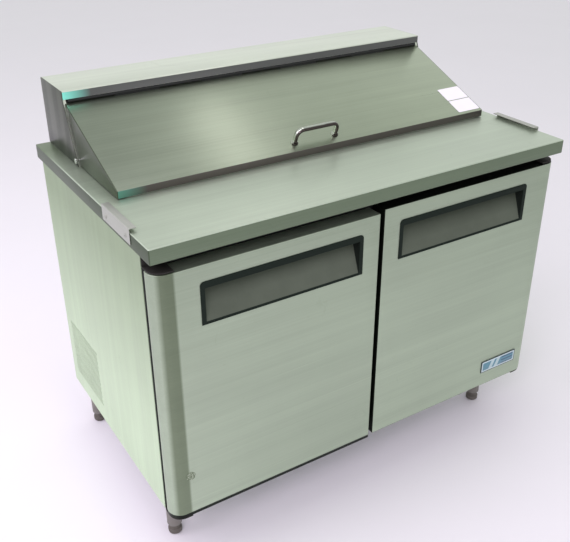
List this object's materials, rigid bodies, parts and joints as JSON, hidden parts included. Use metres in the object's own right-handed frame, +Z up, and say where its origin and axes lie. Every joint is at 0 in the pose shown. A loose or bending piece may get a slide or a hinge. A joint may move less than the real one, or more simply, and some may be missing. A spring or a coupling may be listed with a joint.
{
  "type": "sandwich preparation refrigerator",
  "caption": "Refrigerated food-preparation counter: foamed cabinet on legs with swing doors, pocket handles, a worktop with food pans under a sloping hinged lid, and a rear hood.",
  "frame": {"origin": "on the floor, under the middle of the worktop", "axes": "+X to the right seen from the front, along the worktop's length; +Y from the doors to the back; +Z up"},
  "size_m": [1.2284, 0.746, 1.091],
  "materials": {
    "galvanised_sheet": "dull",
    "bracket_steel": "satin",
    "black_paint": "semi-gloss",
    "fan_aluminium": "satin",
    "white_plastic": "satin",
    "inner_aluminium": "satin",
    "fan_plastic": "satin",
    "black_plastic": "fine grain",
    "pan_steel": "satin",
    "chrome_fittings": "polished",
    "hood_sheet": "satin",
    "foam": "open foam",
    "gasket_rubber": "soft matt",
    "door_sheet": "satin, soft smudges",
    "leg_metal": "satin",
    "foot_plastic": "worn matt",
    "lid_sheet": "satin",
    "nameplate_enamel": "glossy",
    "stainless_worktop": "brushed along its length, fine wear scratches",
    "coated_wire": "coated",
    "cabinet_sheet": "satin",
    "copper_tube": "satin"
  },
  "bodies": {
    "cabinet": {"back_panel": "galvanised_sheet", "base_panel": "galvanised_sheet", "board_bracket_left": "bracket_steel", "board_bracket_right": "bracket_steel", "compressor": "black_paint", "condenser_coil": "black_paint", "condenser_fan_frame": "black_paint", "control_box": "white_plastic", "evaporator_coil": "inner_aluminium", "evaporator_fan_frame": "fan_plastic", "face_frame": "black_plastic", "food_pan_1": "pan_steel", "food_pan_2": "pan_steel", "food_pan_3": "pan_steel", "food_pan_4": "pan_steel", "food_pan_5": "pan_steel", "food_pan_6": "pan_steel", "hinge_bracket_left_bottom": "bracket_steel", "hinge_bracket_left_top": "bracket_steel", "hinge_bracket_right_bottom": "bracket_steel", "hinge_bracket_right_top": "bracket_steel", "hood_screw_left": "chrome_fittings", "hood_screw_right": "chrome_fittings", "hood_shell": "hood_sheet", "insulation": "foam", "leg_back_left": "leg_metal", "leg_back_right": "leg_metal", "leg_front_left": "leg_metal", "leg_front_right": "leg_metal", "lid_hinge_leaf": "bracket_steel", "liner": "inner_aluminium", "pan_rail": "stainless_worktop", "shelf_left": "coated_wire", "shelf_rail_centre": "inner_aluminium", "shelf_right": "coated_wire", "side_panel_left": "cabinet_sheet", "side_panel_right": "cabinet_sheet", "suction_line": "copper_tube", "unit_tray": "galvanised_sheet", "worktop": "stainless_worktop"},
    "left_door": {"left_door_skin": "door_sheet", "left_door_inner": "white_plastic", "left_door_gasket": "gasket_rubber", "left_handle_pocket": "black_plastic"},
    "right_door": {"right_door_skin": "door_sheet", "right_door_inner": "white_plastic", "right_door_gasket": "gasket_rubber", "right_handle_pocket": "black_plastic", "nameplate": "nameplate_enamel"},
    "lid": {"lid_shell": "lid_sheet", "lid_inner_panel": "white_plastic", "lid_handle": "chrome_fittings"},
    "condenser_fan": {"condenser_fan_blade": "fan_aluminium"},
    "evaporator_fan": {"evaporator_fan_blade": "fan_plastic"},
    "temperature_dial": {"temperature_knob": "fan_plastic"},
    "foot_back_left": {"levelling_foot_back_left": "foot_plastic"},
    "foot_back_right": {"levelling_foot_back_right": "foot_plastic"},
    "foot_front_left": {"levelling_foot_front_left": "foot_plastic"},
    "foot_front_right": {"levelling_foot_front_right": "foot_plastic"}
  },
  "joints": [
    {"name": "left_door_hinge", "type": "hinge", "parent": "cabinet", "child": "left_door", "pos_m": [-0.583, -0.343, 0.1528], "axis": [0, 0, -1], "range_deg": [0, 105]},
    {"name": "right_door_hinge", "type": "hinge", "parent": "cabinet", "child": "right_door", "pos_m": [0.583, -0.343, 0.1618], "axis": [0, 0, 1], "range_deg": [0, 105]},
    {"name": "lid_hinge", "type": "hinge", "parent": "cabinet", "child": "lid", "pos_m": [0, 0.204, 1.0662], "axis": [-1, 0, 0], "range_deg": [0, 105]},
    {"name": "condenser_fan_spin", "type": "hinge", "parent": "cabinet", "child": "condenser_fan", "pos_m": [-0.5052, 0.2151, 0.2516], "axis": [1, 0, 0], "continuous": true},
    {"name": "evaporator_fan_spin", "type": "hinge", "parent": "cabinet", "child": "evaporator_fan", "pos_m": [0, 0.2369, 0.69], "axis": [0, 1, 0], "continuous": true},
    {"name": "temperature_dial_turn", "type": "hinge", "parent": "cabinet", "child": "temperature_dial", "pos_m": [0.27, 0.25065, 0.69], "axis": [0, 1, 0], "range_deg": [0, 300]},
    {"name": "foot_back_left_turn", "type": "hinge", "parent": "cabinet", "child": "foot_back_left", "pos_m": [-0.559, 0.312, 0.03], "axis": [0, 0, 1], "continuous": true},
    {"name": "foot_back_right_turn", "type": "hinge", "parent": "cabinet", "child": "foot_back_right", "pos_m": [0.52, 0.312, 0.03], "axis": [0, 0, 1], "continuous": true},
    {"name": "foot_front_left_turn", "type": "hinge", "parent": "cabinet", "child": "foot_front_left", "pos_m": [-0.559, -0.247, 0.03], "axis": [0, 0, 1], "continuous": true},
    {"name": "foot_front_right_turn", "type": "hinge", "parent": "cabinet", "child": "foot_front_right", "pos_m": [0.52, -0.247, 0.03], "axis": [0, 0, 1], "continuous": true}
  ]
}
